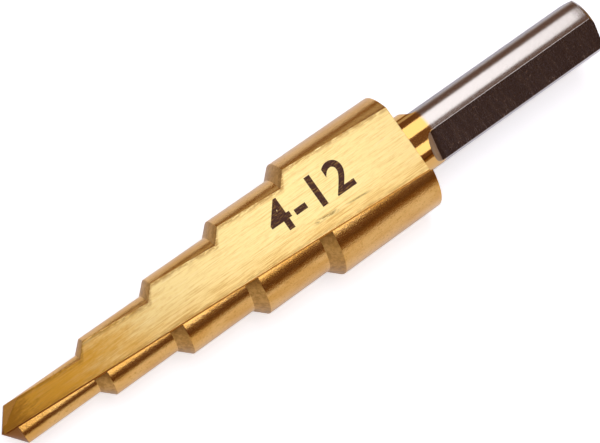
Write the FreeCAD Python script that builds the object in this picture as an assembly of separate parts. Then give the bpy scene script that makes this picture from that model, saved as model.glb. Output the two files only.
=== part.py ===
# Step drill: one piece of hardened steel with a stepped cutting body, two straight flutes and a
# round shank with three flats. It is modelled lying as it comes to rest, one flute turned down.

import FreeCAD, Part
import math
import os
from FreeCAD import Vector

# Driving dimensions, in millimetres and degrees.

# Cutting body: the smallest step is the pilot, and each later step is one rise wider.
PILOT_DIAMETER = 4.0
STEP_DIAMETER_RISE = 2.0
RAISED_STEP_COUNT = 4
PILOT_LENGTH = 7.79
STEP_LENGTH = 6.57
LAST_STEP_LENGTH = 10.93
SHOULDER_ANGLE = 42.0
BACK_TAPER_ANGLE = 0.4

# Point: the cutting lips stand at half the point angle, and the flank falls away behind them.
POINT_ANGLE = 110.0
LIP_RELIEF_TILT = 3.5

# Heel relief: a small facet ground on the trailing corner of each lobe beside the point.
HEEL_RELIEF_SETBACK = 0.28
HEEL_RELIEF_RAKE = 20.5
HEEL_RELIEF_SLANT = 21.0
HEEL_WALL_OFFSET = 0.36
HEEL_WALL_ANGLE = 12.0

# Flutes: a right-angled notch with a slightly crowned floor that climbs towards the back.
FLUTE_COUNT = 2
FLUTE_FLOOR_AT_POINT = 0.32
FLUTE_FLOOR_AT_BACK = 4.3
FLUTE_FLOOR_CROWN = 0.33
FLUTE_FACE_AT_POINT = 0.23
FLUTE_FACE_AT_BACK = 2.82
FLUTE_ROOT_RADIUS = 0.25

# Shank: round neck, three ground flats that run out towards the neck, and a chamfered end.
SHANK_DIAMETER = 6.0
SHANK_LENGTH = 21.45
SHANK_CHAMFER = 0.35
FLAT_COUNT = 3
FLAT_DEPTH = 0.55
FLAT_TURN = 34.0
FLAT_SETBACK = 2.7
FLAT_RUNOUT_RADIUS = 1.25

# Spare length by which cutting shapes pass clear of the body.
CUTTER_MARGIN = 2.0

AXIS = Vector(0, 0, 1)
CENTRE = Vector(0, 0, 0)


def half_point_angle():
    return math.radians(POINT_ANGLE / 2)


def point_length():
    """Height of the point, from its tip to the pilot's full diameter at the lips."""
    return PILOT_DIAMETER / 2 / math.tan(half_point_angle())


def step_radii():
    """Nominal radius of every step, from the pilot to the widest."""
    return [PILOT_DIAMETER / 2 + number * STEP_DIAMETER_RISE / 2 for number in range(RAISED_STEP_COUNT + 1)]


def step_lengths():
    return [PILOT_LENGTH] + [STEP_LENGTH] * (RAISED_STEP_COUNT - 1) + [LAST_STEP_LENGTH]


def shoulder_length():
    """Axial length of the cone between two steps."""
    return STEP_DIAMETER_RISE / 2 / math.tan(math.radians(SHOULDER_ANGLE))


def step_spans():
    """Front radius, back radius, front height and back height of every step."""
    spans = []
    front = point_length()
    for radius, length in zip(step_radii(), step_lengths()):
        taper = length * math.tan(math.radians(BACK_TAPER_ANGLE))
        spans.append((radius, radius - taper, front, front + length))
        front += length + shoulder_length()
    return spans


def body_back():
    """Height of the face behind the widest step."""
    return step_spans()[-1][3]


def tool_end():
    return body_back() + SHANK_LENGTH


def widest_radius():
    return step_radii()[-1]


def turned_blank():
    """The stepped body, neck and chamfered shank as one turned form, with a blunt pilot.

    Its seam is turned into a flute, and along the shank into the middle of a round land.
    """
    outline = [Vector(0, 0, 0), Vector(PILOT_DIAMETER / 2, 0, 0)]
    for front_radius, back_radius, front, back in step_spans():
        outline.append(Vector(front_radius, 0, front))
        outline.append(Vector(back_radius, 0, back))
    shank_radius = SHANK_DIAMETER / 2
    outline.append(Vector(shank_radius, 0, body_back()))
    outline.append(Vector(shank_radius, 0, tool_end() - SHANK_CHAMFER))
    outline.append(Vector(shank_radius - SHANK_CHAMFER, 0, tool_end()))
    outline.append(Vector(0, 0, tool_end()))
    outline.append(outline[0])
    blank = Part.Face(Part.makePolygon(outline)).revolve(CENTRE, AXIS, 360)
    blank.rotate(CENTRE, AXIS, FLAT_TURN - 180 / FLAT_COUNT)
    return blank


def lip_turn():
    """Angle from the flute's middle plane to the outer corner of a cutting lip."""
    return math.degrees(math.asin(FLUTE_FACE_AT_POINT / (PILOT_DIAMETER / 2)))


def flank_cutter():
    """What is ground off one lobe at the point, down to a cone tilted so that its lip leads.

    The two tilted cones meet at equal heights in the plane square to the lips.
    """
    reach = PILOT_DIAMETER
    cone_angle = half_point_angle() - math.radians(LIP_RELIEF_TILT)
    cone = Part.makeCone(0, reach, reach / math.tan(cone_angle), CENTRE, AXIS)
    cone.rotate(CENTRE, AXIS, 180)
    cone.rotate(CENTRE, Vector(0, 1, 0), LIP_RELIEF_TILT)
    stock_height = 2 * point_length() + CUTTER_MARGIN
    stock = Part.makeBox(reach, 2 * reach, stock_height, Vector(0, -reach, -CUTTER_MARGIN))
    cutter = stock.cut(cone)
    cutter.rotate(CENTRE, AXIS, lip_turn())
    return cutter


def heel_facet_point(across, height):
    """Point of the heel facet, which rakes back along the tool and slants across it."""
    side_rise = across * math.tan(math.radians(HEEL_RELIEF_SLANT))
    rise = height * math.tan(math.radians(HEEL_RELIEF_RAKE))
    return Vector(HEEL_RELIEF_SETBACK + side_rise + rise, across, height)


def heel_relief_cutter():
    """Wedge that grinds the small facet on a lobe's trailing corner, beside the opposite lip."""
    reach = 2 * PILOT_DIAMETER
    rings = []
    for height in (-CUTTER_MARGIN, reach):
        wall = -HEEL_WALL_OFFSET - height * math.tan(math.radians(HEEL_WALL_ANGLE))
        inner = heel_facet_point(wall, height)
        outer = heel_facet_point(-reach, height)
        outer_up = Vector(inner.x + reach, outer.y, height)
        inner_up = Vector(inner.x + reach, inner.y, height)
        rings.append(Part.makePolygon([inner, outer, outer_up, inner_up, inner]))
    return Part.makeLoft(rings, True, True)


def flute_floor(height):
    """Distance of a flute's floor from the axis at a given height."""
    share = height / body_back()
    straight = FLUTE_FLOOR_AT_POINT + share * (FLUTE_FLOOR_AT_BACK - FLUTE_FLOOR_AT_POINT)
    return straight + FLUTE_FLOOR_CROWN * 4 * share * (1 - share)


def flute_face(height):
    """Distance of a flute's cutting face from the middle plane at a given height."""
    share = height / body_back()
    return FLUTE_FACE_AT_POINT + share * (FLUTE_FACE_AT_BACK - FLUTE_FACE_AT_POINT)


def flute_cutter():
    """Right-angled notch along one side: a crowned floor and a flat cutting face."""
    low = -CUTTER_MARGIN
    middle = body_back() / 2
    high = body_back() + CUTTER_MARGIN
    reach = 2 * widest_radius()
    floor = Part.Arc(*[Vector(flute_floor(height), 0, height) for height in (low, middle, high)]).toShape()
    closing = Part.makePolygon([Vector(flute_floor(high), 0, high), Vector(reach, 0, high),
                                Vector(reach, 0, low), Vector(flute_floor(low), 0, low)])
    side = Part.Face(Part.Wire([floor] + closing.Edges))
    side.translate(Vector(0, -reach, 0))
    notch = side.extrude(Vector(0, 2 * reach, 0))
    kept = [Vector(-reach, -2 * reach, low), Vector(-reach, flute_face(low), low),
            Vector(-reach, flute_face(high), high), Vector(-reach, -2 * reach, high)]
    beside_face = Part.Face(Part.makePolygon(kept + [kept[0]])).extrude(Vector(3 * reach, 0, 0))
    notch = notch.common(beside_face)
    root = [edge for edge in notch.Edges if is_flute_root(edge)]
    return notch.makeFillet(FLUTE_ROOT_RADIUS, root)


def is_flute_root(edge):
    """The root is the long edge where the floor meets the cutting face."""
    spot = edge.valueAt((edge.FirstParameter + edge.LastParameter) / 2)
    on_floor = abs(spot.x - flute_floor(spot.z)) < FLUTE_ROOT_RADIUS
    on_face = abs(spot.y - flute_face(spot.z)) < FLUTE_ROOT_RADIUS
    return on_floor and on_face and edge.Length > body_back() / 2


def flat_cutter():
    """One shank flat: level along the shank, then a wheel's arc that runs out in the neck."""
    depth_radius = SHANK_DIAMETER / 2 - FLAT_DEPTH
    start = body_back() + FLAT_SETBACK
    high = tool_end() + CUTTER_MARGIN
    reach = SHANK_DIAMETER
    stock = Part.makeBox(reach, 2 * reach, high - body_back(), Vector(depth_radius, -reach, body_back()))
    wheel_centre = Vector(depth_radius + FLAT_RUNOUT_RADIUS, -reach, start)
    wheel = Part.makeCylinder(FLAT_RUNOUT_RADIUS, 2 * reach, wheel_centre, Vector(0, 1, 0))
    level = Part.makeBox(reach, 2 * reach, high - start, Vector(depth_radius, -reach, start))
    return level.fuse(wheel).common(stock)


def turned_copies(shape, count, first_turn=0.0):
    """Copies of a cutting shape spaced evenly about the tool's axis."""
    copies = []
    for number in range(count):
        copy = shape.copy()
        copy.rotate(CENTRE, AXIS, first_turn + number * 360.0 / count)
        copies.append(copy)
    return copies


def step_drill():
    """The whole tool, standing on its point along its own axis."""
    cutters = turned_copies(flank_cutter(), FLUTE_COUNT)
    cutters += turned_copies(flute_cutter(), FLUTE_COUNT)
    cutters += turned_copies(heel_relief_cutter(), FLUTE_COUNT)
    cutters += turned_copies(flat_cutter(), FLAT_COUNT, FLAT_TURN)
    tool = turned_blank()
    for cutter in cutters:
        tool = tool.cut(cutter)
    return tool


def resting_contacts():
    """The three corners of the lower flute that touch the floor, all on the widest step."""
    front_radius, back_radius, front, back = step_spans()[-1]

    def lip(radius, height):
        across = flute_face(height)
        return Vector(-math.sqrt(radius ** 2 - across ** 2), -across, height)

    def heel(radius, height):
        floor = flute_floor(height)
        return Vector(-floor, math.sqrt(radius ** 2 - floor ** 2), height)

    return lip(front_radius, front), heel(front_radius, front), heel(back_radius, back)


def laid_down(tool):
    """The tool at rest on its lower flute, with +X from the point to the shank and +Z up."""
    lip, front_heel, back_heel = resting_contacts()
    down = (front_heel - lip).cross(back_heel - lip)
    down.normalize()
    if down.dot(lip) < 0:
        down = down * -1
    up = down * -1
    along = AXIS - up * AXIS.dot(up)
    along.normalize()
    across = up.cross(along)
    turn = FreeCAD.Matrix(along.x, along.y, along.z, 0,
                          across.x, across.y, across.z, 0,
                          up.x, up.y, up.z, 0,
                          0, 0, 0, 1)
    rested = tool.copy()
    rested.Placement = FreeCAD.Placement(turn)
    box = rested.optimalBoundingBox(False)
    rested.translate(Vector(-(box.XMin + box.XMax) / 2, -(box.YMin + box.YMax) / 2, -box.ZMin))
    return rested


os.makedirs("parts", exist_ok=True)
laid_down(step_drill()).exportStep("parts/step_drill.step")
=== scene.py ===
"""A step drill lying on a pale table: gold nitride over ground steel, with a bare shank.

The drill's sizes are in millimetres and degrees, and the studio's are in metres and degrees.
"""

from __future__ import annotations

import logging
import math
from dataclasses import dataclass, field
from typing import Union

import bmesh
import bpy
from mathutils import Euler, Matrix, Vector
from mathutils.geometry import tessellate_polygon

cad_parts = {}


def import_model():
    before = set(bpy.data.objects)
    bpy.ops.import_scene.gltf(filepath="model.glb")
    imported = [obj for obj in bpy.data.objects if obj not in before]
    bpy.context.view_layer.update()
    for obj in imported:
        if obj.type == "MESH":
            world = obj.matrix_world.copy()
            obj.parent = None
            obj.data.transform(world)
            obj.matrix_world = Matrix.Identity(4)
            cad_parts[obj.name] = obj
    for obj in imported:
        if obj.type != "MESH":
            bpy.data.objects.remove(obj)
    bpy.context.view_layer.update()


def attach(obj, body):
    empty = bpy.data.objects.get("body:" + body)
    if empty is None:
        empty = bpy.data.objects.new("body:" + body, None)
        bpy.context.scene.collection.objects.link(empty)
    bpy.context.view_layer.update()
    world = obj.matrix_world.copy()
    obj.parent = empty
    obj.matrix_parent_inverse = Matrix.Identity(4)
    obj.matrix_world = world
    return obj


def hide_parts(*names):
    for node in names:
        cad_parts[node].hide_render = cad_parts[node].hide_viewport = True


LOG = logging.getLogger("step_drill_scene")
MM = 0.001
NODE = "step_drill"
BODY = "root"
EDGE_STEPS = 4
ROOT_STEPS = 6
LAND_STEPS = 44
FACET_STEPS = 5
WALL_STEPS = 2
FLOOR_STEPS = 14
FACE_STEPS = 5
FLAT_STEPS = 8
ROUND_STEPS = 40
HALVINGS = 40
TOUCHING = 1e-6
DISTINCT = 1e-5
MERGE_DISTANCE = 5e-8
SHARP_ANGLE = math.radians(27.0)

Colour = tuple[float, float, float]
Span = tuple[float, float]
Number = Union[float, "Signal"]


class Signal:
    """A shader value, so that node maths can be written as Python arithmetic."""

    def __init__(self, sheet: "NodeSheet", socket: bpy.types.NodeSocket) -> None:
        """Wraps an output socket of a node on the given sheet."""
        self.sheet = sheet
        self.socket = socket

    def __add__(self, other: Number) -> "Signal":
        """Sum of two values."""
        return self.sheet.math("ADD", self, other)

    def __radd__(self, other: Number) -> "Signal":
        """Sum with a plain number on the left."""
        return self.sheet.math("ADD", other, self)

    def __sub__(self, other: Number) -> "Signal":
        """Difference of two values."""
        return self.sheet.math("SUBTRACT", self, other)

    def __rsub__(self, other: Number) -> "Signal":
        """Difference with a plain number on the left."""
        return self.sheet.math("SUBTRACT", other, self)

    def __mul__(self, other: Number) -> "Signal":
        """Product of two values."""
        return self.sheet.math("MULTIPLY", self, other)

    def __rmul__(self, other: Number) -> "Signal":
        """Product with a plain number on the left."""
        return self.sheet.math("MULTIPLY", other, self)

    def __truediv__(self, other: Number) -> "Signal":
        """Quotient of two values."""
        return self.sheet.math("DIVIDE", self, other)

    def __rtruediv__(self, other: Number) -> "Signal":
        """Quotient with a plain number on the left."""
        return self.sheet.math("DIVIDE", other, self)

    def __abs__(self) -> "Signal":
        """Size of the value without its sign."""
        return self.sheet.math("ABSOLUTE", self)

    def power(self, exponent: float) -> "Signal":
        """The value raised to a plain exponent."""
        return self.sheet.math("POWER", self, exponent)

    def at_least(self, other: Number) -> "Signal":
        """The larger of two values."""
        return self.sheet.math("MAXIMUM", self, other)

    def rise(self, low: float, high: float) -> "Signal":
        """Smooth step from 0 at low to 1 at high.

        Args:
            low: Value at which the step begins.
            high: Value at which the step is complete.

        Returns:
            The step as a value from 0 to 1.
        """
        ramp = self.sheet.node(
            "ShaderNodeMapRange",
            {"interpolation_type": "SMOOTHSTEP"},
            {"Value": self, "From Min": low, "From Max": high},
        )
        return self.sheet.read(ramp, "Result")

    def fall(self, low: float, high: float) -> "Signal":
        """Smooth step from 1 at low to 0 at high."""
        return 1.0 - self.rise(low, high)

    def band(self, low: float, high: float, soft: float) -> "Signal":
        """Mask that is 1 between two values, with edges as soft as is given."""
        return self.rise(low - soft, low + soft) * self.fall(high - soft, high + soft)


class NodeSheet:
    """The nodes of one material or of the world, added through a few plain calls."""

    def __init__(self, tree: bpy.types.NodeTree) -> None:
        """Clears the tree and starts an empty sheet."""
        tree.nodes.clear()
        self.tree = tree

    def node(
        self,
        kind: str,
        settings: dict[str, object] | None = None,
        inputs: dict[str | int, object] | None = None,
    ) -> bpy.types.Node:
        """Adds one node.

        Args:
            kind: Blender's name of the node type.
            settings: Properties that are set first.
            inputs: Values or signals for the sockets, by name or by number.

        Returns:
            The new node.
        """
        made = self.tree.nodes.new(kind)
        for name, value in (settings or {}).items():
            setattr(made, name, value)
        for name, value in (inputs or {}).items():
            socket = made.inputs[name]
            if isinstance(value, Signal):
                self.tree.links.new(value.socket, socket)
            else:
                socket.default_value = self._fitted(socket, value)
        return made

    @staticmethod
    def _fitted(socket: bpy.types.NodeSocket, value: object) -> object:
        """Adds the alpha that a colour socket wants to a plain colour."""
        plain = socket.type == "RGBA" and len(value) == 3
        return (*value, 1.0) if plain else value

    def read(self, node: bpy.types.Node, output: str | int = 0) -> Signal:
        """Signal from one output of a node."""
        return Signal(self, node.outputs[output])

    def math(self, operation: str, *values: Number) -> Signal:
        """Result of one Math node."""
        inputs = dict(enumerate(values))
        return self.read(self.node("ShaderNodeMath", {"operation": operation}, inputs))

    def dot(self, vector: Signal, direction: Vector) -> Signal:
        """Component of a vector along a fixed direction.

        Args:
            vector: The vector.
            direction: The direction, of length one.

        Returns:
            The component.
        """
        inputs = {0: vector, 1: tuple(direction)}
        made = self.node("ShaderNodeVectorMath", {"operation": "DOT_PRODUCT"}, inputs)
        return self.read(made, "Value")

    def joined(self, x: Number, y: Number, z: Number) -> Signal:
        """Vector from three values."""
        return self.read(self.node("ShaderNodeCombineXYZ", None, {0: x, 1: y, 2: z}))

    def blend(self, share: Number, first: object, second: object) -> Signal:
        """Colour that goes from the first to the second as the share goes from 0 to 1."""
        settings = {"data_type": "RGBA", "clamp_factor": True}
        return self.read(self.node("ShaderNodeMix", settings, {0: share, 6: first, 7: second}), 2)

    @classmethod
    def of_material(cls, name: str) -> tuple[bpy.types.Material, "NodeSheet"]:
        """New material and its empty sheet.

        Args:
            name: Name of the material.

        Returns:
            The material and the sheet.
        """
        material = bpy.data.materials.new(name)
        material.use_nodes = True
        return material, cls(material.node_tree)

    def shade(self, inputs: dict[str, object]) -> None:
        """Ends the sheet in a Principled shader and the material's output."""
        shader = self.node("ShaderNodeBsdfPrincipled", None, inputs)
        self.node("ShaderNodeOutputMaterial", None, {"Surface": self.read(shader, "BSDF")})


@dataclass(frozen=True)
class ToolAxes:
    """The drill's own axes in the frame: along from point to shank, and square to it.

    Toward points out of the upper flute's floor, and across out of its cutting face.
    """

    tip: Vector = Vector((-0.0328862313, 0.0, 0.0032614152))
    along: Vector = Vector((0.9989602, 0.0, 0.0455918))
    toward: Vector = Vector((-0.0437968, -0.2778277, 0.959632))
    across: Vector = Vector((0.0126667, -0.9606309, -0.2775388))

    def place(self, along: float, toward: float, across: float) -> Vector:
        """Point in the frame, in metres, from distances in millimetres along the tool's axes."""
        step = self.along * along + self.toward * toward + self.across * across
        return self.tip + step * MM


def tan(angle: float) -> float:
    """Tangent of an angle in degrees."""
    return math.tan(math.radians(angle))


def spread(first: float, last: float, count: int) -> list[float]:
    """Values from first to last that lie closer together near both ends."""
    shares = [(1.0 - math.cos(math.pi * step / count)) / 2.0 for step in range(count + 1)]
    return [first + (last - first) * share for share in shares]


def bend(start: Vector, corner: Vector, end: Vector) -> list[Vector]:
    """Points of a curve that leaves its start and reaches its end in the corner's direction."""
    shares = [step / EDGE_STEPS for step in range(EDGE_STEPS + 1)]
    return [start.lerp(corner, share).lerp(corner.lerp(end, share), share) for share in shares]


def rounded(before: Vector, corner: Vector, after: Vector, reach: float) -> list[Vector]:
    """Small round that takes the place of a corner.

    Args:
        before: A point on the way to the corner.
        corner: The corner.
        after: A point on the way from the corner.
        reach: Distance from the corner at which the round begins and ends.

    Returns:
        The points of the round, with both ends.
    """
    start, end = (corner + (side - corner).normalized() * reach for side in (before, after))
    return bend(start, corner, end)


def around(angle: float, radius: float) -> Vector:
    """Point of a cross-section at an angle in radians from toward to across."""
    return Vector((radius * math.cos(angle), radius * math.sin(angle)))


def placed(name: str, data: bpy.types.ID) -> bpy.types.Object:
    """Makes an object from its data and puts it in the scene.

    Args:
        name: Name of the object.
        data: Its mesh, lamp or camera.

    Returns:
        The new object.
    """
    made = bpy.data.objects.new(name, data)
    bpy.context.scene.collection.objects.link(made)
    return made


def close_up(mesh: bpy.types.Mesh, smooth: bool) -> None:
    """Joins a mesh's repeated points and turns its faces outwards.

    Args:
        mesh: The mesh.
        smooth: Whether every face becomes smooth.
    """
    work = bmesh.new()
    work.from_mesh(mesh)
    bmesh.ops.remove_doubles(work, verts=work.verts, dist=MERGE_DISTANCE)
    bmesh.ops.recalc_face_normals(work, faces=work.faces)
    for face in work.faces:
        face.smooth = face.smooth or smooth
    work.to_mesh(mesh)
    work.free()


@dataclass(frozen=True)
class Rim:
    """Outer surface of the cutting body: ground point, five steps and four shoulders."""

    pilot_radius: float = 2.0
    step_rise: float = 1.0
    lengths: tuple[float, ...] = (7.79, 6.57, 6.57, 6.57, 10.93)
    shoulder_angle: float = 42.0
    back_taper: float = 0.4
    point_angle: float = 110.0
    relief_tilt: float = 3.5
    lip_offset: float = 0.23
    edge_round: float = 0.05

    def corners(self) -> list[Vector]:
        """Corners of the outline.

        Returns:
            The corners, each as height along the tool and radius.
        """
        front = self.pilot_radius / tan(self.point_angle / 2.0)
        found = [Vector((0.0, self.pilot_radius))]
        for number, length in enumerate(self.lengths):
            radius = self.pilot_radius + number * self.step_rise
            found.append(Vector((front, radius)))
            found.append(Vector((front + length, radius - length * tan(self.back_taper))))
            front += length + self.step_rise / tan(self.shoulder_angle)
        return found

    def length(self) -> float:
        """Height of the face behind the widest step."""
        return self.corners()[-1].x

    def softened(self) -> list[Vector]:
        """The outline with a small round on every corner behind the point.

        Returns:
            Its points, each as height along the tool and radius.
        """
        sharp = self.corners()
        sharp.append(Vector((sharp[-1].x, 0.0)))
        line = sharp[:2]
        for before, corner, after in zip(sharp[1:], sharp[2:], sharp[3:]):
            line += rounded(before, corner, after, self.edge_round)
        return line

    def flank(self, angle: float) -> float:
        """Radius of the ground point for each millimetre of height.

        Args:
            angle: Angle around the tool in radians.

        Returns:
            The radius of the tilted cone that the flank is ground to.
        """
        lip = math.asin(self.lip_offset / self.pilot_radius)
        turn = abs((angle - lip + math.pi / 2.0) % math.pi - math.pi / 2.0)
        tilt = math.radians(self.relief_tilt)
        cone = math.cos(math.radians(self.point_angle / 2.0) - tilt) ** 2
        lean = math.cos(turn) * math.sin(tilt)
        square = cone - lean ** 2
        middle = lean * math.cos(tilt)
        return (middle + math.sqrt(middle ** 2 + square * (math.cos(tilt) ** 2 - cone))) / square


@dataclass(frozen=True)
class Flute:
    """One flute: its floor, its cutting face, and the small facet on the heel at the point."""

    length: float
    floor_at_point: float = 0.32
    floor_at_back: float = 4.3
    floor_crown: float = 0.33
    face_at_point: float = 0.23
    face_at_back: float = 2.82
    root_radius: float = 0.25
    facet_setback: float = 0.28
    facet_rake: float = 20.5
    facet_slant: float = 21.0
    wall_offset: float = 0.36
    wall_angle: float = 12.0
    far: float = 20.0

    def floor(self, along: Number) -> Number:
        """Distance of the floor from the axis.

        Args:
            along: Height along the tool, as a number or in a material.

        Returns:
            The distance, as a number or in a material.
        """
        share = along / self.length
        climb = share * (self.floor_at_back - self.floor_at_point)
        return climb + share * (1.0 - share) * (4.0 * self.floor_crown) + self.floor_at_point

    def face(self, along: Number) -> Number:
        """Distance of the cutting face from the middle plane, as a number or in a material."""
        return self.face_at_point + along / self.length * (self.face_at_back - self.face_at_point)

    def heel_side(self, along: float) -> list[Vector]:
        """Corners from the root over the floor, the small wall and the facet to far outside.

        Args:
            along: Height along the tool.

        Returns:
            The four corners.
        """
        floor = self.floor(along)
        slant = tan(self.facet_slant)
        setback = self.facet_setback + along * tan(self.facet_rake)
        wall = -self.wall_offset - along * tan(self.wall_angle)
        start = min(wall, (floor - setback) / slant)
        root = Vector((floor, self.face(along) - self.root_radius))
        facet = Vector((setback + start * slant, start))
        outside = Vector((setback - self.far * slant, -self.far))
        return [root, Vector((floor, start)), facet, outside]

    def lip_side(self, along: float) -> list[Vector]:
        """Points from the root round its fillet and over the cutting face to far outside.

        Args:
            along: Height along the tool.

        Returns:
            The points.
        """
        inward = Vector((1.0, -1.0)) * self.root_radius
        centre = Vector((self.floor(along), self.face(along))) + inward
        turns = [math.pi - math.pi / 2.0 * step / ROOT_STEPS for step in range(ROOT_STEPS + 1)]
        fillet = [centre + around(turn, self.root_radius) for turn in turns]
        return fillet + [Vector((self.far, self.face(along)))]


@dataclass(frozen=True)
class Section:
    """Cross-section of the cutting body at one height."""

    rim: Rim
    flute: Flute
    along: float
    radius: float
    edge_round: float = 0.03
    round_share: float = 0.45

    def outer(self, angle: float) -> float:
        """Radius of the outer surface at an angle."""
        return min(self.radius, self.along * self.rim.flank(angle))

    def beyond(self, point: Vector) -> bool:
        """Whether a point lies outside the outer surface."""
        return point.length > self.outer(math.atan2(point.y, point.x))

    def kept(self, points: list[Vector]) -> list[Vector]:
        """A run of points from the root, drawn together where it leaves the outer surface.

        Args:
            points: The run, from the root to far outside.

        Returns:
            As many points, none of them outside.
        """
        run = points[:1]
        left = self.beyond(points[0])
        if left:
            angle = math.atan2(points[0].y, points[0].x)
            run = [around(angle, self.outer(angle))]
        for before, after in zip(points, points[1:]):
            if not left and self.beyond(after):
                run.append(self._crossing(before, after))
                left = True
            else:
                run.append(run[-1] if left else after)
        return run

    def _crossing(self, inside: Vector, outside: Vector) -> Vector:
        """Point between two others that lies on the outer surface.

        Args:
            inside: A point inside.
            outside: A point outside.

        Returns:
            The point where the line leaves.
        """
        for _ in range(HALVINGS):
            middle = (inside + outside) / 2.0
            if self.beyond(middle):
                outside = middle
            else:
                inside = middle
        return inside

    def drawn_back(self, run: list[Vector]) -> tuple[list[Vector], Vector, float]:
        """Ends a run a little before its outer corner, which leaves room for a round.

        Args:
            run: Points from the root to the corner.

        Returns:
            The shorter run, the corner, and the distance between them.
        """
        corner = run[-1]
        apart = [point for point in run if (point - corner).length > TOUCHING]
        if not apart:
            return run, corner, 0.0
        inner = apart[-1]
        reach = min(self.edge_round, self.round_share * (inner - corner).length)
        end = corner + (inner - corner).normalized() * reach
        drawn = [point if (point - corner).length > TOUCHING else end for point in run]
        return drawn, corner, reach

    def half(self) -> list[Vector]:
        """Outline from one cutting lip, over its lobe and through the next flute.

        Returns:
            The points of half the outline; the other half is the same, turned by half a turn.
        """
        heel_run, heel, heel_reach = self.drawn_back(self.kept(self.flute.heel_side(self.along)))
        lip_run, lip, lip_reach = self.drawn_back(self.kept(self.flute.lip_side(self.along)))
        lip_angle = math.atan2(lip.y, lip.x)
        heel_angle = math.atan2(heel.y, heel.x)
        size = max(lip.length, TOUCHING)
        first = lip_angle + lip_reach / size
        last = heel_angle + math.pi - heel_reach / size
        land = [around(angle, self.outer(angle)) for angle in spread(first, last, LAND_STEPS)]
        flute = [heel_run[-1]]
        counts = (FACET_STEPS, WALL_STEPS, FLOOR_STEPS)
        for start, end, count in zip(heel_run[:0:-1], heel_run[-2::-1], counts):
            flute += [start.lerp(end, share) for share in spread(0.0, 1.0, count)[1:]]
        flute += lip_run[1:-1]
        start, end = lip_run[-2:]
        flute += [start.lerp(end, share) for share in spread(0.0, 1.0, FACE_STEPS)[1:]]
        heel_round = bend(-land[-1], heel, flute[0])[1:-1]
        lip_round = bend(flute[-1], lip, land[0])[1:-1]
        return land + [-point for point in heel_round + flute + lip_round]


class Skin:
    """Closed surface that is built up ring by ring along the tool."""

    def __init__(self, axes: ToolAxes) -> None:
        """Starts an empty surface.

        Args:
            axes: The tool's axes, which its points are given in.
        """
        self.axes = axes
        self.points: list[Vector] = []
        self.faces: list[tuple[int, ...]] = []
        self.flat_points: list[Vector] = []

    def ring(self, along: float, outline: list[Vector]) -> range:
        """Adds the points of one cross-section.

        Args:
            along: Height of the cross-section along the tool, in millimetres.
            outline: Its points, from toward to across.

        Returns:
            The numbers of the new points.
        """
        first = len(self.points)
        for point in outline:
            self.points.append(self.axes.place(along, point.x, point.y))
            self.flat_points.append(point)
        return range(first, len(self.points))

    def band(self, low: range, high: range) -> None:
        """Joins two rings of the same number of points.

        Args:
            low: The ring nearer to the point.
            high: The ring nearer to the shank's end.
        """
        for number in range(len(low)):
            after = (number + 1) % len(low)
            self.faces.append((low[number], low[after], high[after], high[number]))

    def cover(self, *rings: range) -> None:
        """Fills a flat face.

        Args:
            rings: The outer ring, and any ring that stays open inside it.
        """
        loops = [self._distinct(ring) for ring in rings]
        numbers = [number for loop in loops for number in loop]
        lines = [[self.flat_points[number].to_3d() for number in loop] for loop in loops]
        for corners in tessellate_polygon(lines):
            self.faces.append(tuple(numbers[corner] for corner in corners))

    def _distinct(self, ring: range) -> list[int]:
        """The numbers of a ring without points that repeat the one before.

        Args:
            ring: The ring.

        Returns:
            The numbers that are left.
        """
        kept: list[int] = []
        for number in ring:
            before = kept[-1] if kept else ring[-1]
            if (self.flat_points[number] - self.flat_points[before]).length > DISTINCT:
                kept.append(number)
        return kept

    def object(self, name: str) -> bpy.types.Object:
        """Makes the object, with repeated points joined and edges sharp where they should be.

        Args:
            name: Name of the object and its mesh.

        Returns:
            The new object.
        """
        mesh = bpy.data.meshes.new(name)
        mesh.from_pydata(self.points, [], self.faces)
        close_up(mesh, smooth=True)
        mesh.set_sharp_from_angle(angle=SHARP_ANGLE)
        return placed(name, mesh)


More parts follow.
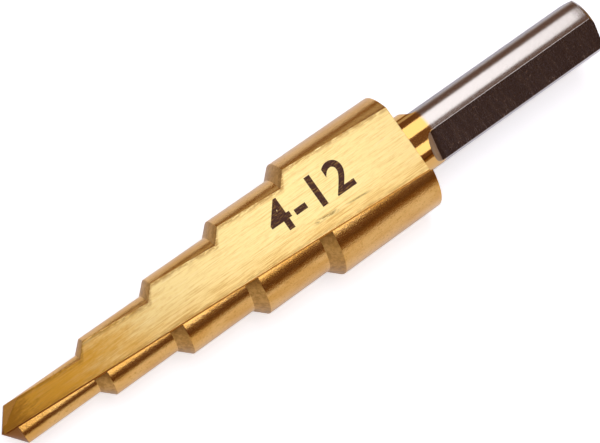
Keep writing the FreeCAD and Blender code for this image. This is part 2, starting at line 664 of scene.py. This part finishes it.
@dataclass(frozen=True)
class CuttingBody:
    """The stepped cutting body with its two flutes.

    The rows are heights of rings near the point, as first height, gap and number. Heights that are
    alike to same_height decimals are one ring.
    """

    rim: Rim
    flute: Flute
    guard: float = 0.05
    longest_gap: float = 1.4
    web_steps: int = 12
    web_gaps: tuple[float, ...] = (0.0, 0.004, 0.012)
    same_height: int = 6
    rows: tuple[tuple[float, float, int], ...] = (
        (0.48, 0.03, 31),
        (1.38, 0.02, 13),
        (1.66, 0.08, 24),
    )

    def skin(self, skin: Skin) -> range:
        """Adds the body's rings from the point to the back.

        Args:
            skin: Surface that the body belongs to.

        Returns:
            The ring at the back of the widest step.
        """
        low = None
        for height in self._heights():
            half = Section(self.rim, self.flute, height, self._radius(height)).half()
            high = skin.ring(height, half + [-point for point in half])
            if low is not None:
                skin.band(low, high)
            low = high
        return low

    def _radius(self, height: float) -> float:
        """Radius of the stepped outline.

        Args:
            height: Height along the tool.

        Returns:
            The radius there.
        """
        line = self.rim.softened()
        for before, after in zip(line, line[1:]):
            if height <= after.x:
                share = (height - before.x) / max(after.x - before.x, TOUCHING)
                return before.y + (after.y - before.y) * share
        return line[-1].y

    def _web_height(self) -> float:
        """Finds where the flute's root leaves the ground point.

        Returns:
            The height along the tool.
        """
        low, high = 0.0, self.rim.pilot_radius
        for _ in range(HALVINGS):
            middle = (low + high) / 2.0
            root = self.flute.heel_side(middle)[0]
            if Section(self.rim, self.flute, middle, self.rim.pilot_radius).beyond(root):
                low = middle
            else:
                high = middle
        return low

    def _heights(self) -> list[float]:
        """Heights of the rings, close together where the shape changes.

        Returns:
            The heights from the point to the back.
        """
        web = self._web_height()
        found = spread(0.0, 2.0 * web, self.web_steps) + [web + gap for gap in self.web_gaps]
        for first, gap, count in self.rows:
            found += [first + gap * step for step in range(count)]
        found += [point.x for point in self.rim.softened()]
        beside = self.rim.edge_round + self.guard
        corners = [corner.x for corner in self.rim.corners()[2:]]
        found += [corner + side * beside for corner in corners for side in (-1.0, 1.0)]
        end = self.rim.length()
        inside = sorted({round(height, self.same_height) for height in found if height <= end})
        rows = inside[:1]
        for height in inside[1:]:
            low = rows[-1]
            pieces = math.ceil((height - low) / self.longest_gap)
            rows += [low + (height - low) * (step + 1) / pieces for step in range(pieces)]
        return rows


@dataclass(frozen=True)
class Shank:
    """Round neck and shank with three ground flats and a chamfered end."""

    start: float
    radius: float = 3.0
    length: float = 21.45
    chamfer: float = 0.35
    flat_count: int = 3
    flat_depth: float = 0.55
    flat_turn: float = 34.0
    flat_setback: float = 2.7
    runout_radius: float = 1.25
    edge_round: float = 0.04
    round_share: float = 0.3
    neck_lead: float = 0.5
    end_lead: float = 2.0
    runout_rows: int = 26
    flat_rows: int = 12

    def skin(self, skin: Skin) -> tuple[range, range]:
        """Adds the shank's rings from the neck to the end.

        Args:
            skin: Surface that the shank belongs to.

        Returns:
            The first and the last ring.
        """
        rings: list[range] = []
        for height, radius in self._rows():
            rings.append(skin.ring(height, self._section(height, radius)))
            if len(rings) > 1:
                skin.band(rings[-2], rings[-1])
        return rings[0], rings[-1]

    def level_start(self) -> float:
        """Height at which the flats become level."""
        return self.start + self.flat_setback

    def turns(self) -> list[float]:
        """Angles of the flats in radians."""
        apart = 360.0 / self.flat_count
        return [math.radians(self.flat_turn + number * apart) for number in range(self.flat_count)]

    def _flat_distance(self, height: float) -> float:
        """Distance of the flats from the axis.

        Args:
            height: Height along the tool.

        Returns:
            The distance there, which is the radius where there are no flats.
        """
        before = max(0.0, self.level_start() - height)
        if before >= self.runout_radius:
            return self.radius
        arc = self.runout_radius - math.sqrt(self.runout_radius ** 2 - before ** 2)
        return min(self.radius, self.radius - self.flat_depth + arc)

    def _rows(self) -> list[tuple[float, float]]:
        """Places of the rings.

        Returns:
            Height and radius of every ring.
        """
        widest = math.acos(1.0 - self.flat_depth / self.runout_radius)
        level, end = self.level_start(), self.start + self.length
        heights = [self.start, self.start + self.neck_lead]
        for share in spread(0.0, 1.0, self.runout_rows):
            heights.append(level - self.runout_radius * math.sin(widest * (1.0 - share)))
        gap = (end - level) / self.flat_rows
        heights += [level + gap * step for step in range(1, self.flat_rows)]
        rows = [(height, self.radius) for height in heights]
        line = [
            Vector((end - self.end_lead, self.radius)),
            Vector((end - self.chamfer, self.radius)),
            Vector((end, self.radius - self.chamfer)),
            Vector((end, 0.0)),
        ]
        for before, corner, after in zip(line, line[1:], line[2:]):
            rows += [tuple(point) for point in rounded(before, corner, after, self.edge_round)]
        return rows

    def _section(self, height: float, radius: float) -> list[Vector]:
        """Outline of the shank: flats, small rounds, and lands on one grid of angles.

        Args:
            height: Height along the tool.
            radius: Radius of the lands there.

        Returns:
            The points of the outline.
        """
        half = math.acos(min(1.0, self._flat_distance(height) / radius))
        reach = min(self.edge_round, self.round_share * radius * math.sin(half))
        turn = 2.0 * math.pi / self.flat_count
        outline: list[Vector] = []
        for middle in self.turns():
            level = around(middle, radius * math.cos(half))
            low, high = around(middle - half, radius), around(middle + half, radius)
            first_angle = middle + half + reach / radius
            last_angle = middle + turn - half - reach / radius
            grid = [middle + turn * step / ROUND_STEPS for step in range(ROUND_STEPS + 1)]
            land = [around(min(max(angle, first_angle), last_angle), radius) for angle in grid]
            next_low = around(middle + turn - half, radius)
            next_level = around(middle + turn, radius * math.cos(half))
            first = low + (level - low).normalized() * reach
            last = high + (level - high).normalized() * reach
            outline += [first.lerp(last, share) for share in spread(0.0, 1.0, FLAT_STEPS)]
            outline += rounded(level, high, land[0], reach)[1:-1]
            outline += land
            outline += rounded(land[-1], next_low, next_level, reach)[1:-1]
        return outline


@dataclass(frozen=True)
class Grain:
    """A noise in the drill's axes, with its features for each millimetre each way.

    The span is where its mask begins and is whole, and the strength is that of its mask or relief.
    Lean adds across to along, and slant adds along to across.
    """

    along: float
    toward: float
    across: float
    detail: float = 3.0
    rough: float = 0.5
    span: Span = (0.0, 1.0)
    strength: float = 1.0
    lean: float = 0.0
    slant: float = 0.0


class ToolPlace:
    """Where a shaded point lies on the drill, as signals in millimetres."""

    def __init__(self, sheet: NodeSheet, axes: ToolAxes) -> None:
        """Reads the point and its normal in the drill's own axes.

        Args:
            sheet: The material's sheet.
            axes: The drill's axes.
        """
        coordinate = sheet.node("ShaderNodeTexCoord")
        point = sheet.read(coordinate, "Object")
        normal = sheet.read(coordinate, "Normal")
        self.sheet = sheet
        self.along = self._distance(point, axes.along, axes.tip)
        self.toward = self._distance(point, axes.toward, axes.tip)
        self.across = self._distance(point, axes.across, axes.tip)
        self.from_axis = (self.toward * self.toward + self.across * self.across).power(0.5)
        self.face_along = sheet.dot(normal, axes.along)
        self.face_toward = sheet.dot(normal, axes.toward)
        self.face_across = sheet.dot(normal, axes.across)

    def _distance(self, point: Signal, direction: Vector, tip: Vector) -> Signal:
        """Distance of the point from the tip along a direction, in millimetres."""
        return self.sheet.dot(point, direction) / MM - tip.dot(direction) / MM

    def noise(self, grain: Grain) -> Signal:
        """Noise value around 0.5.

        Args:
            grain: The noise's features and finer layers.

        Returns:
            The noise.
        """
        along = self.along * grain.along
        across = self.across * grain.across
        if grain.lean:
            along = along + self.across * grain.lean
        if grain.slant:
            across = across + self.along * grain.slant
        place = self.sheet.joined(along, self.toward * grain.toward, across)
        inputs = {"Vector": place, "Scale": 1.0, "Detail": grain.detail, "Roughness": grain.rough}
        return self.sheet.read(self.sheet.node("ShaderNodeTexNoise", None, inputs), "Fac")

    def mask(self, grain: Grain) -> Signal:
        """Mask of a grain, which rises over its span to its strength."""
        return self.noise(grain).rise(*grain.span) * grain.strength

    def relief(self, grain: Grain) -> Signal:
        """Height of a grain: its noise times its strength."""
        return self.noise(grain) * grain.strength


@dataclass(frozen=True)
class Nitride:
    """Gold nitride coat of the lands, shoulders, point and neck, with painted shade on the
    shoulders and near the point.
    """

    ground: Colour = (0.84, 0.51, 0.165)
    # Shade is a darker gold, used for random clouds on the lands and for painted shade near the
    # point.
    shade: Colour = (0.75, 0.41, 0.10)
    pit: Colour = (0.60, 0.30, 0.055)
    # Painted shade: the shoulders' darker colour stands in for the shadowed table that they
    # reflect.
    shoulder_painted_shade: Colour = (0.40, 0.21, 0.05)
    # Painted shade: the dark flank at the point stands in for the drill's own shadow in what it
    # reflects.
    point_flank_painted_shade: Colour = (0.28, 0.11, 0.02)
    neck: Colour = (0.84, 0.50, 0.155)
    clouds: Grain = Grain(0.3, 0.8, 0.8, span=(0.35, 0.7))
    pits: Grain = Grain(4.0, 4.0, 4.0, rough=0.65, span=(0.52, 0.68), strength=0.6)
    # Noise that breaks up the painted shade on the shoulders.
    shoulder_shade_breaks: Grain = Grain(2.2, 2.2, 2.2, rough=0.65, span=(0.36, 0.62), strength=0.4)
    polish: Grain = Grain(9.0, 2.5, 2.5, detail=2.0, strength=0.1)
    grit: Grain = Grain(4.6, 4.6, 4.6, rough=0.62, strength=0.0125)
    rings: Grain = Grain(14.0, 0.4, 0.4, rough=0.6, strength=0.0009)
    # Share of painted shade on the lands near the point.
    land_point_painted_shade: float = 0.8
    neck_smoothing: float = 0.75
    land_roughness: float = 0.19
    neck_roughness: float = 0.11
    turned_roughness: float = 0.33


@dataclass(frozen=True)
class FloorCoat:
    """Streaked coat of the flute floors, with painted shadow near the point and a painted highlight
    towards the back.

    A span is where a look begins and is whole, in millimetres or in the value of a grain. A share
    is how far that look goes.
    """

    # Painted shadow: dark floor colour near the point.
    tip: Colour = (0.40, 0.18, 0.02)
    # Front and back: the floor is darker towards the point and paler towards the back, as a painted
    # highlight.
    front: Colour = (0.80, 0.43, 0.055)
    back: Colour = (0.97, 0.79, 0.36)
    streak: Colour = (0.60, 0.30, 0.055)
    pale_streak: Colour = (1.0, 0.82, 0.46)
    edge_wear: Colour = (0.40, 0.19, 0.035)
    streaks: Grain = Grain(0.3, 1.0, 12.0, detail=5.0, rough=0.72)
    mottle: Grain = Grain(1.1, 1.0, 4.2, detail=4.0, rough=0.7, slant=0.35)
    drift: Grain = Grain(0.2, 1.0, 0.9, rough=0.6)
    specks: Grain = Grain(1.2, 1.0, 7.0, detail=4.0, rough=0.75, span=(0.38, 0.54), strength=0.75)
    brush: Grain = Grain(1.1, 1.0, 13.0, detail=4.0, rough=0.7, strength=0.009)
    painted_highlight_span: Span = (6.0, 20.0)
    painted_highlight_drift: float = 14.0
    painted_highlight_mottle: float = 10.0
    # Where the painted shadow near the point fades out, in millimetres along the tool.
    point_painted_shade_span: Span = (1.4, 4.6)
    point_shadow_mottle: float = 6.0
    point_painted_shadow_share: float = 0.8
    dark_span: Span = (0.36, 0.5)
    dark_share: float = 0.34
    mottle_span: Span = (0.36, 0.52)
    mottle_share: float = 0.17
    pale_span: Span = (0.52, 0.64)
    pale_share: float = 0.14
    pale_share_more: float = 0.32
    heel_span: Span = (0.08, 0.42)
    root_span: Span = (0.2, 0.6)
    root_share: float = 0.6
    lower_span: Span = (0.5, 2.6)
    lower_tone: float = 0.16
    lower_dark_span: Span = (0.4, 0.54)
    lower_dark_share: float = 0.5
    roughness: float = 0.36


@dataclass(frozen=True)
class Scratch:
    """A scratch on the flute floor: a broken smudge, then a thin line, in millimetres."""

    colour: Colour = (0.27, 0.15, 0.03)
    start: float = 32.7
    across: float = 0.72
    slope: float = 0.075
    smudge: Span = (32.9, 35.4)
    smudge_width: Span = (0.04, 0.3)
    smudge_fade: float = 0.5
    line: Span = (36.4, 38.6)
    line_width: Span = (0.02, 0.13)
    line_fade: float = 0.4
    line_share: float = 0.5
    strength: float = 0.75
    broken: Grain = Grain(1.3, 3.0, 5.0, detail=4.0, rough=0.75, span=(0.4, 0.58))

    def mask(self, spot: ToolPlace) -> Signal:
        """Mask of the scratch.

        Args:
            spot: The shaded point.

        Returns:
            The mask.
        """
        away = abs(spot.across - (spot.along - self.start) * self.slope - self.across)
        broken = spot.mask(self.broken)
        smudge = away.fall(*self.smudge_width) * spot.along.band(*self.smudge, self.smudge_fade)
        line = away.fall(*self.line_width) * spot.along.band(*self.line, self.line_fade)
        unbroken = broken * (1.0 - self.line_share) + self.line_share
        return (smudge * broken).at_least(line * unbroken) * self.strength


@dataclass(frozen=True)
class BareSteel:
    """Ground steel of the shank, round and flat; the flats are painted darker, as painted shade."""

    round_colour: Colour = (0.62, 0.60, 0.60)
    # Painted shade: the flats' dark colour stands in for the dark room that they reflect.
    flat_painted_shade: Colour = (0.20, 0.168, 0.18)
    fleck: Colour = (0.46, 0.41, 0.39)
    run_out: Colour = (0.56, 0.40, 0.24)
    flecks: Grain = Grain(3.0, 3.0, 3.0, detail=1.0, span=(0.66, 0.74), strength=0.8)
    lines: Grain = Grain(
        3.2, 0.4, 0.4, detail=4.0, rough=0.72, span=(0.44, 0.68), strength=0.34, lean=-0.8
    )
    cuts: Grain = Grain(8.0, 1.2, 1.2, detail=4.0, rough=0.7, strength=0.009)
    round_roughness: float = 0.19
    flat_roughness: float = 0.26
    run_out_roughness: float = 0.45


@dataclass(frozen=True)
class Zones:
    """Masks of the drill's surfaces, as signals from 0 to 1."""

    floor: Signal
    flat: Signal
    cone: Signal
    run_out: Signal
    neck: Signal
    bare: Signal


@dataclass
class StepDrill:
    """The drill in one piece: its sizes in millimetres, and the finishes that cover it.

    A span is where the mask of a surface begins and is whole, in millimetres or, where it is named
    facing, in the normal's component.
    """

    axes: ToolAxes
    rim: Rim = field(default_factory=Rim)
    flute: Flute = field(init=False)
    shank: Shank = field(init=False)
    coat: Nitride = field(default_factory=Nitride)
    floor_coat: FloorCoat = field(default_factory=FloorCoat)
    scratch: Scratch = field(default_factory=Scratch)
    steel: BareSteel = field(default_factory=BareSteel)
    coat_end: float = 47.0
    coat_fade: float = 0.25
    back_fade: float = 0.1
    back_edge: float = 0.02
    outer_span: Span = (0.1, 0.2)
    floor_span: Span = (0.08, 0.16)
    floor_facing: Span = (0.85, 0.93)
    flat_span: Span = (-0.45, -0.35)
    flat_facing: Span = (0.97, 0.985)
    cone_facing: Span = (-0.6, -0.4)
    run_out_span: Span = (-1.15, 0.05)
    run_out_fade: float = 0.03
    run_out_facing: Span = (0.1, 0.35)
    run_out_bare: Span = (0.0, 0.3)
    # Where the painted shade near the point fades out, in millimetres along the tool.
    point_painted_shade_span: Span = (2.2, 3.4)
    flank_painted_shade_span: Span = (1.45, 1.6)

    def __post_init__(self) -> None:
        """Works out the forms that hang on the body's length."""
        self.flute = Flute(self.rim.length())
        self.shank = Shank(self.rim.length())

    def build(self) -> None:
        """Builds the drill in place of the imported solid, and dresses it."""
        skin = Skin(self.axes)
        back = CuttingBody(self.rim, self.flute).skin(skin)
        neck, end = self.shank.skin(skin)
        skin.cover(back, neck)
        skin.cover(end)
        drill = skin.object("ground_step_drill")
        self.dress(drill)
        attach(drill, BODY)
        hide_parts(NODE)
        LOG.info("built %s with %d faces", drill.name, len(drill.data.polygons))

    def dress(self, drill: bpy.types.Object) -> None:
        """Gives the drill its finish.

        Args:
            drill: The drill's object.
        """
        material, sheet = NodeSheet.of_material("coated_ground_steel")
        spot = ToolPlace(sheet, self.axes)
        zones = self._zones(spot)
        height = self._marks(spot, zones)
        relief = {"Strength": 1.0, "Distance": MM, "Height": height}
        bump = sheet.node("ShaderNodeBump", None, relief)
        sheet.shade(
            {
                "Base Color": self._colour(spot, zones),
                "Metallic": 1.0,
                "Roughness": self._roughness(spot, zones),
                "Normal": sheet.read(bump, "Normal"),
            }
        )
        drill.data.materials.append(material)
        LOG.info("dressed %s in gold nitride and bare steel", drill.name)

    def _zones(self, spot: ToolPlace) -> Zones:
        """Works out the mask of every surface.

        Args:
            spot: The shaded point.

        Returns:
            The masks.
        """
        back, level = self.rim.length(), self.shank.level_start()
        depth = abs(spot.toward) - self.flute.floor(spot.along)
        floor = depth.fall(*self.floor_span) * abs(spot.face_toward).rise(*self.floor_facing)
        flat_low, flat_high = (level + reach for reach in self.flat_span)
        run_low, run_high = (level + reach for reach in self.run_out_span)
        leaning = spot.face_along.rise(*self.run_out_facing)
        return Zones(
            floor=floor * spot.along.fall(back - self.back_fade, back + self.back_fade),
            flat=self._facing_flats(spot) * spot.along.rise(flat_low, flat_high),
            cone=spot.face_along.fall(*self.cone_facing),
            run_out=leaning * spot.along.band(run_low, run_high, self.run_out_fade),
            neck=spot.along.rise(back, back + self.back_edge),
            bare=spot.along.rise(self.coat_end - self.coat_fade, self.coat_end + self.coat_fade),
        )

    def _facing_flats(self, spot: ToolPlace) -> Signal:
        """Mask of what faces the way that one of the shank's flats does.

        Args:
            spot: The shaded point.

        Returns:
            The mask.
        """
        found: Number = 0.0
        for turn in self.shank.turns():
            facing = spot.face_toward * math.cos(turn) + spot.face_across * math.sin(turn)
            found = facing.rise(*self.flat_facing).at_least(found)
        return found

    def _colour(self, spot: ToolPlace, zones: Zones) -> Signal:
        """Base colour of the whole tool.

        Args:
            spot: The shaded point.
            zones: Masks of the surfaces.

        Returns:
            The colour.
        """
        sheet, coat, steel = spot.sheet, self.coat, self.steel
        land = sheet.blend(spot.mask(coat.clouds), coat.ground, coat.shade)
        land = sheet.blend(spot.mask(coat.pits), land, coat.pit)
        land = sheet.blend(zones.neck, land, coat.neck)
        # Painted shade on the lands near the point.
        land = sheet.blend(spot.along.fall(*self.point_painted_shade_span) * coat.land_point_painted_shade, land, coat.shade)
        # Painted shade on the shoulders, broken up by noise.
        land = sheet.blend(zones.cone * (1.0 - spot.mask(coat.shoulder_shade_breaks)), land, coat.shoulder_painted_shade)
        # Painted shade on the flank of the point.
        land = sheet.blend(zones.cone * spot.along.fall(*self.flank_painted_shade_span), land, coat.point_flank_painted_shade)
        gold = sheet.blend(zones.floor, land, self._bed(spot))
        # Painted shade on the shank's flats, with lines and flecks.
        plate = sheet.blend(spot.mask(steel.lines), steel.flat_painted_shade, steel.fleck)
        plate = sheet.blend(spot.mask(steel.flecks), plate, steel.fleck)
        iron = sheet.blend(zones.flat, steel.round_colour, plate)
        bare = zones.bare.at_least(zones.flat).at_least(zones.run_out.rise(*self.run_out_bare))
        return sheet.blend(zones.run_out, sheet.blend(bare, gold, iron), steel.run_out)

    def _bed(self, spot: ToolPlace) -> Signal:
        """Colour of a flute floor: painted shadow at the point, paler towards the back as a painted
        highlight, streaked along the tool, worn at its edges.

        Args:
            spot: The shaded point.

        Returns:
            The colour.
        """
        sheet, coat = spot.sheet, self.floor_coat
        streak, mottle = spot.noise(coat.streaks), spot.noise(coat.mottle)
        # Painted highlight: the floor turns paler towards the back.
        drift = (spot.noise(coat.drift) - 0.5) * coat.painted_highlight_drift
        back = (spot.along + drift + (mottle - 0.5) * coat.painted_highlight_mottle).rise(*coat.painted_highlight_span)
        bed = sheet.blend(back, coat.front, coat.back)
        bed = sheet.blend(streak.fall(*coat.dark_span) * coat.dark_share, bed, coat.streak)
        bed = sheet.blend(mottle.fall(*coat.mottle_span) * coat.mottle_share, bed, coat.streak)
        pale = streak.rise(*coat.pale_span) * (back * coat.pale_share_more + coat.pale_share)
        bed = sheet.blend(pale, bed, coat.pale_streak)
        # Painted shadow on the floor near the point.
        tip = (spot.along + (mottle - 0.5) * coat.point_shadow_mottle).fall(*coat.point_painted_shade_span)
        bed = sheet.blend(tip * coat.point_painted_shadow_share, bed, coat.tip)
        from_root = self.flute.face(spot.along) - spot.across * sheet.math("SIGN", spot.toward)
        lower = from_root.fall(*coat.lower_span) * back
        bed = sheet.blend(lower * coat.lower_tone, bed, coat.front)
        dark = streak.fall(*coat.lower_dark_span) * lower * coat.lower_dark_share
        bed = sheet.blend(dark, bed, coat.streak)
        heel = (self._step_radius(spot) - spot.from_axis).fall(*coat.heel_span)
        edge = heel.at_least(from_root.fall(*coat.root_span) * coat.root_share)
        bed = sheet.blend(edge * spot.mask(coat.specks), bed, coat.edge_wear)
        return sheet.blend(self.scratch.mask(spot), bed, self.scratch.colour)

    def _step_radius(self, spot: ToolPlace) -> Signal:
        """Radius of the stepped outline at the shaded point.

        Args:
            spot: The shaded point.

        Returns:
            The radius in millimetres.
        """
        corners = self.rim.corners()
        radius: Number = self.rim.pilot_radius
        for front, back in zip(corners[2:-1:2], corners[3::2]):
            radius = spot.along.rise(front.x, back.x) * self.rim.step_rise + radius
        drop = spot.along.rise(corners[-1].x, corners[-1].x + self.back_edge)
        return radius - drop * (corners[-1].y - self.shank.radius)

    def _roughness(self, spot: ToolPlace, zones: Zones) -> Signal:
        """Roughness of the whole tool.

        Args:
            spot: The shaded point.
            zones: Masks of the surfaces.

        Returns:
            The roughness.
        """
        coat, steel = self.coat, self.steel
        land = coat.land_roughness
        found = land + (spot.noise(coat.polish) - 0.5) * coat.polish.strength
        found = found + zones.floor * (self.floor_coat.roughness - land)
        found = found + zones.cone * (coat.turned_roughness - land)
        found = found + zones.neck * (1.0 - zones.bare) * (coat.neck_roughness - land)
        found = found + zones.bare * (steel.round_roughness - land)
        found = found + zones.flat * (steel.flat_roughness - steel.round_roughness)
        return found * (1.0 - zones.run_out) + zones.run_out * steel.run_out_roughness

    def _marks(self, spot: ToolPlace, zones: Zones) -> Signal:
        """Height of the grinding marks.

        Args:
            spot: The shaded point.
            zones: Masks of the surfaces.

        Returns:
            The height in millimetres.
        """
        coat, back = self.coat, self.rim.length()
        outer = (self._step_radius(spot) - spot.from_axis).fall(*self.outer_span)
        smoother = spot.along.rise(back, back + self.back_fade) * coat.neck_smoothing
        ground = spot.relief(coat.grit) * (1.0 - smoother) + spot.relief(coat.rings)
        land = ground * outer * (1.0 - zones.floor) * (1.0 - zones.flat)
        brushed = spot.relief(self.floor_coat.brush) * zones.floor
        return land + brushed + spot.relief(self.steel.cuts) * zones.flat


@dataclass(frozen=True)
class SizeMark:
    """Plain size numbers printed on the upper flute floor, in millimetres."""

    axes: ToolAxes
    flute: Flute
    words: str = "4-12"
    start: float = 29.6
    base: float = -0.1
    size: float = 4.3
    film: float = 0.008
    stroke: float = 0.085
    spacing: float = 1.12
    ink: Colour = (0.060, 0.019, 0.010)
    thin_ink: Colour = (0.60, 0.30, 0.055)
    worn: Grain = Grain(2.0, 2.0, 9.0, rough=0.6, span=(0.5, 0.72), strength=0.45)
    roughness: float = 0.5
    specular: float = 0.3

    def build(self) -> None:
        """Builds the print as a thin film that follows the floor."""
        lettering = bpy.data.curves.new("size_mark_line", "FONT")
        lettering.body = self.words
        lettering.size = self.size
        lettering.extrude = self.film
        lettering.offset = self.stroke
        lettering.space_character = self.spacing
        outline = bpy.data.objects.new("size_mark_line", lettering)
        mesh = bpy.data.meshes.new_from_object(outline)
        bpy.data.objects.remove(outline)
        for vertex in mesh.vertices:
            along = self.start + vertex.co.x
            height = self.flute.floor(along) + vertex.co.z
            vertex.co = self.axes.place(along, height, self.base - vertex.co.y)
        close_up(mesh, smooth=False)
        mark = placed("size_mark", mesh)
        mark.data.materials.append(self._ink())
        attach(mark, BODY)
        LOG.info("printed %s on the flute floor", mark.name)

    def _ink(self) -> bpy.types.Material:
        """Dark burnt print, worn a little thin in small spots.

        Returns:
            The material.
        """
        material, sheet = NodeSheet.of_material("burnt_print")
        spot = ToolPlace(sheet, self.axes)
        colour = sheet.blend(spot.mask(self.worn), self.ink, self.thin_ink)
        sheet.shade(
            {"Base Color": colour, "Roughness": self.roughness, "Specular IOR Level": self.specular}
        )
        return material


@dataclass
class SoftBox:
    """A soft lamp at an angle around the drill, with its distances in millimetres."""

    name: str
    around: float
    width: float
    along: float = 136.0
    length: float = 208.0
    radiance: float = 1.5
    distance: float = 400.0
    seen_in_metal: bool = True

    def hang(self, axes: ToolAxes) -> None:
        """Puts the lamp in the scene.

        Args:
            axes: The drill's axes, which the lamp is placed by.
        """
        lamp = bpy.data.lights.new(self.name, "AREA")
        lamp.shape = "RECTANGLE"
        lamp.size = self.width * MM
        lamp.size_y = self.length * MM
        lamp.energy = self.radiance * math.pi * lamp.size * lamp.size_y
        turn = math.radians(self.around)
        away = axes.toward * math.cos(turn) + axes.across * math.sin(turn)
        side = away.cross(axes.along)
        basis = Matrix((side, axes.along, away)).transposed().to_4x4()
        place = axes.place(self.along, 0.0, 0.0) + away * self.distance * MM
        hung = placed(self.name, lamp)
        hung.matrix_world = Matrix.Translation(place) @ basis
        hung.visible_glossy = self.seen_in_metal


@dataclass
class Studio:
    """Pale table with a low cove, dim room, soft boxes and the camera."""

    axes: ToolAxes
    camera_place: Vector = Vector((-0.0607822, -0.060885, 0.2127265))
    camera_turn: tuple[float, float, float] = (22.2811, -3.0744, -37.353)
    lens: float = 150.0
    sensor_width: float = 36.0
    clip: Span = (0.01, 20.0)
    table_radius: float = 1.5
    table_sides: int = 96
    cove_height: float = 0.16
    cove_steps: int = 8
    sheet_colour: Colour = (0.77, 0.80, 0.90)
    desk_colour: Colour = (0.27, 0.145, 0.045)
    sheet_half_width: float = 0.040
    sheet_half_length: float = 0.050
    sheet_fade: Span = (0.85, 1.15)
    table_roughness: float = 0.9
    sheet_glow: float = 0.58
    sheet_glow_in_metal: float = 0.14
    room: Colour = (0.155, 0.077, 0.045)

    def build(self) -> None:
        """Builds the table, the room, the lamps and the camera."""
        self._table()
        self._room()
        for box in self._boxes():
            box.hang(self.axes)
        self._camera()
        LOG.info("studio is ready")

    def _boxes(self) -> list[SoftBox]:
        """The lamps: boxes and cards around the drill, and a broad one for the table.

        Returns:
            The lamps.
        """
        return [
            SoftBox("box_near_face", around=34.0, width=235.0),
            SoftBox(
                "card_behind", around=-103.0, width=150.0, along=60.0, length=600.0, radiance=0.42,
                distance=500.0,
            ),
            SoftBox("box_near_heel", around=-43.5, width=330.0),
            SoftBox(
                "box_overhead", around=-3.0, width=300.0, along=66.0, length=100.0, radiance=2.45
            ),
            SoftBox(
                "box_at_point", around=-42.0, width=260.0, along=-230.0, length=200.0, radiance=0.42
            ),
            SoftBox(
                "card_beyond_point", around=20.0, width=700.0, along=-340.0, length=240.0,
                radiance=0.6,
            ),
            SoftBox(
                "table_fill", around=-16.0, width=900.0, along=33.0, length=900.0, radiance=2.0,
                distance=1200.0, seen_in_metal=False,
            ),
        ]

    def _table(self) -> None:
        """Round table whose edge turns up in a low cove."""
        rings = [(self.table_radius / 2.0, 0.0), (self.table_radius, 0.0)]
        for number in range(1, self.cove_steps + 1):
            angle = math.pi / 2.0 * number / self.cove_steps
            out = self.table_radius + self.cove_height * math.sin(angle)
            rings.append((out, self.cove_height * (1.0 - math.cos(angle))))
        sides = self.table_sides
        points = [(0.0, 0.0, 0.0)]
        faces: list[tuple[int, ...]] = []
        for radius, height in rings:
            for side in range(sides):
                angle = 2.0 * math.pi * side / sides
                points.append((radius * math.cos(angle), radius * math.sin(angle), height))
        for side in range(sides):
            after = (side + 1) % sides
            faces.append((0, 1 + side, 1 + after))
            for ring in range(len(rings) - 1):
                low = 1 + ring * sides
                faces.append((low + side, low + sides + side, low + sides + after, low + after))
        mesh = bpy.data.meshes.new("table")
        mesh.from_pydata(points, [], faces)
        table = placed("table", mesh)
        table.data.materials.append(self._table_material())

    def _table_material(self) -> bpy.types.Material:
        """Dark desk under a pale strip of paper, with a white background for the camera.

        Returns:
            The material.
        """
        material, sheet = NodeSheet.of_material("paper_on_desk")
        point = sheet.read(sheet.node("ShaderNodeTexCoord"), "Object")
        path = sheet.node("ShaderNodeLightPath")
        glossy, through = sheet.read(path, "Is Glossy Ray"), sheet.read(path, "Is Transmission Ray")
        sides = (
            (Vector((0.0, 1.0, 0.0)), self.sheet_half_width),
            (Vector((1.0, 0.0, 0.0)), self.sheet_half_length),
        )
        off_sheet: Number = 0.0
        for direction, half in sides:
            inner, outer = (half * share for share in self.sheet_fade)
            off_sheet = abs(sheet.dot(point, direction)).rise(inner, outer).at_least(off_sheet)
        white = off_sheet * (1.0 - self.sheet_glow) + self.sheet_glow
        in_metal = glossy.at_least(through) * (1.0 - off_sheet) * self.sheet_glow_in_metal
        seen = (sheet.read(path, "Is Camera Ray") * white).at_least(in_metal)
        sheet.shade(
            {
                "Base Color": sheet.blend(off_sheet, self.sheet_colour, self.desk_colour),
                "Roughness": self.table_roughness,
                "Specular IOR Level": 0.0,
                "Emission Color": sheet.blend(seen, (0.0, 0.0, 0.0), (1.0, 1.0, 1.0)),
                "Emission Strength": 1.0,
            }
        )
        return material

    def _room(self) -> None:
        """Dim room around the table."""
        world = bpy.data.worlds.new("dim_room")
        world.use_nodes = True
        sheet = NodeSheet(world.node_tree)
        air = sheet.node("ShaderNodeBackground", None, {"Color": self.room, "Strength": 1.0})
        sheet.node("ShaderNodeOutputWorld", None, {"Surface": sheet.read(air, "Background")})
        bpy.context.scene.world = world

    def _camera(self) -> None:
        """Camera at the photograph's place, angle and focal length."""
        camera = bpy.data.cameras.new("camera")
        camera.sensor_fit = "HORIZONTAL"
        camera.sensor_width = self.sensor_width
        camera.lens = self.lens
        camera.clip_start, camera.clip_end = self.clip
        holder = placed("camera", camera)
        turn = Euler([math.radians(angle) for angle in self.camera_turn], "XYZ")
        holder.matrix_world = Matrix.Translation(self.camera_place) @ turn.to_matrix().to_4x4()
        bpy.context.scene.camera = holder


def main() -> None:
    """Builds the scene in order and reports each piece."""
    logging.basicConfig(level=logging.INFO, format="%(message)s")
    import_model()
    bpy.context.scene.view_settings.view_transform = "Standard"
    axes = ToolAxes()
    Studio(axes).build()
    drill = StepDrill(axes)
    drill.build()
    SizeMark(axes, drill.flute).build()


if __name__ == "__main__":
    main()
